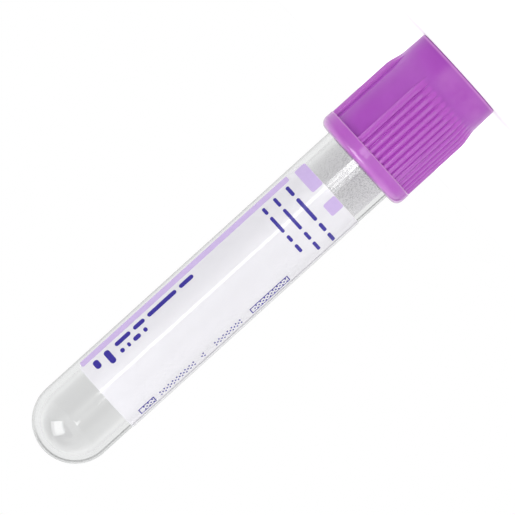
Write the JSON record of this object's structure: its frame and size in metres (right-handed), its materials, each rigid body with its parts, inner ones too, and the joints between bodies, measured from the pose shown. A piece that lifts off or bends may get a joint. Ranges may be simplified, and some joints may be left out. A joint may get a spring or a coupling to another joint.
{
  "type": "blood collection tube",
  "caption": "Clear round-bottomed sample tube with a printed wrap label and a ribbed lavender safety closure over a rubber stopper, standing on the closure.",
  "frame": {"origin": "middle of the closure's top face, on which the tube stands turned over", "axes": "+Z along the tube from its closure to its round bottom, -Y through the front of the label"},
  "size_m": [0.0172, 0.0172, 0.0844],
  "materials": {
    "clear_plastic": "clear injection-moulded plastic, polished",
    "label_film": "glossy white film with lavender and violet print",
    "stopper_rubber": "soft moulded rubber, matte",
    "shield_plastic": "semi-gloss moulded lavender plastic"
  },
  "bodies": {
    "closure": {"stopper": "stopper_rubber", "shield": "shield_plastic"},
    "tube_body": {"tube": "clear_plastic", "label": "label_film"}
  },
  "joints": [
    {"name": "closure_pull", "type": "slide", "parent": "closure", "child": "tube_body", "axis": [0, 0, 1], "range_m": [0, 0.03]}
  ]
}
